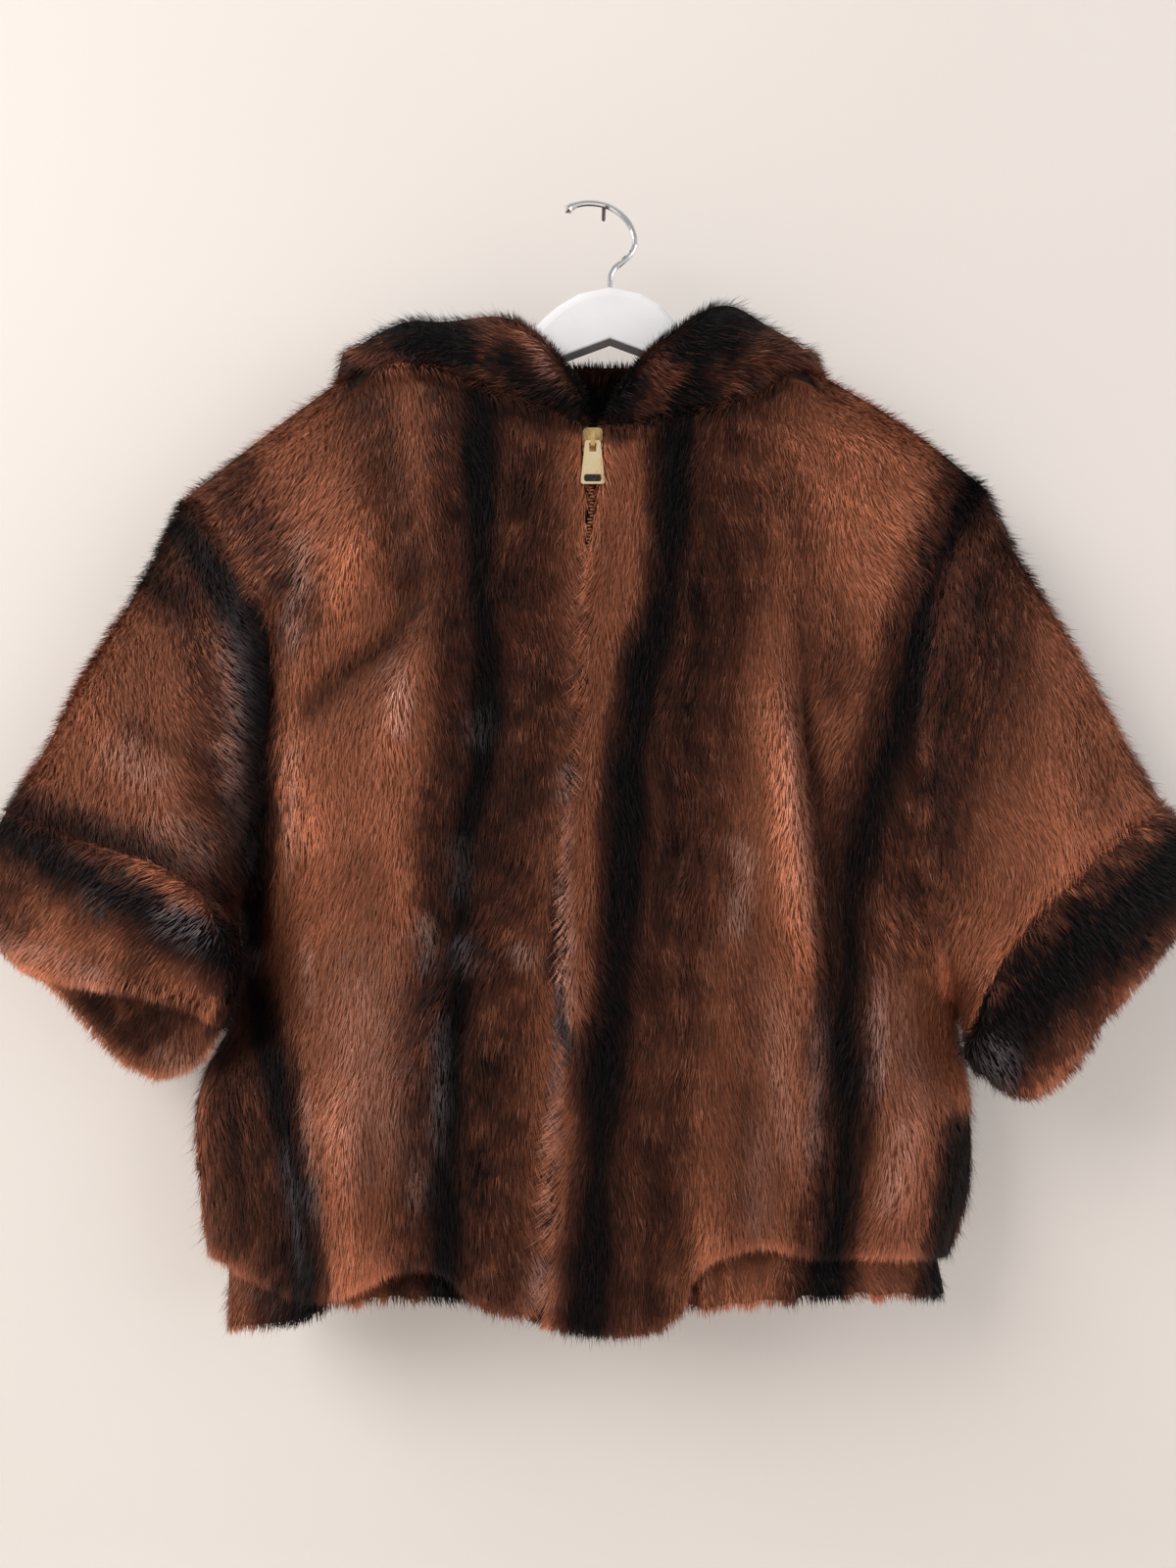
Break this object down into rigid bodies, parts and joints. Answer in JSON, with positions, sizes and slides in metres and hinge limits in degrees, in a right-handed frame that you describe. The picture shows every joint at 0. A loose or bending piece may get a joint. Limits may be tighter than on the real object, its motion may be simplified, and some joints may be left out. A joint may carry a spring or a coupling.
{
  "type": "hooded faux fur jacket on a hanger",
  "caption": "Short hooded faux fur jacket with wide turned-up sleeves, a gathered hem band and a zip front, hanging shut on a white hanger.",
  "frame": {"origin": "the point where the hanger's hook bears on its rail, on the hanger's own plane", "axes": "the jacket's front faces -Y, it hangs down -Z, and the wearer's left is +X"},
  "size_m": [0.7874, 0.125, 0.718],
  "materials": {
    "fur": "long-pile faux fur, chestnut with black-cored stripes",
    "zip_tape": "woven tape",
    "brass": "polished",
    "black_inlay": "smooth black enamel",
    "white_hanger": "smooth satin white",
    "steel_hook": "polished steel wire"
  },
  "bodies": {
    "jacket": {"front_right": "fur", "front_left": "fur", "back": "fur", "sleeve_right": "fur", "sleeve_left": "fur", "cuff_right": "fur", "cuff_left": "fur", "hood_right": "fur", "hood_left": "fur", "hem_band": "fur", "zip_tape_right": "zip_tape", "zip_tape_left": "zip_tape", "zip_chain": "brass", "zip_slider": "brass", "hanger": "white_hanger", "hanger_hook": "steel_hook"},
    "pull": {"zip_pull": "brass", "pull_inlay": "black_inlay"}
  },
  "joints": [
    {"name": "pull_hinge", "type": "hinge", "parent": "jacket", "child": "pull", "pos_m": [-0.00717, -0.04632, -0.16335], "axis": [-1, 0, 0], "range_deg": [0, 150]}
  ]
}
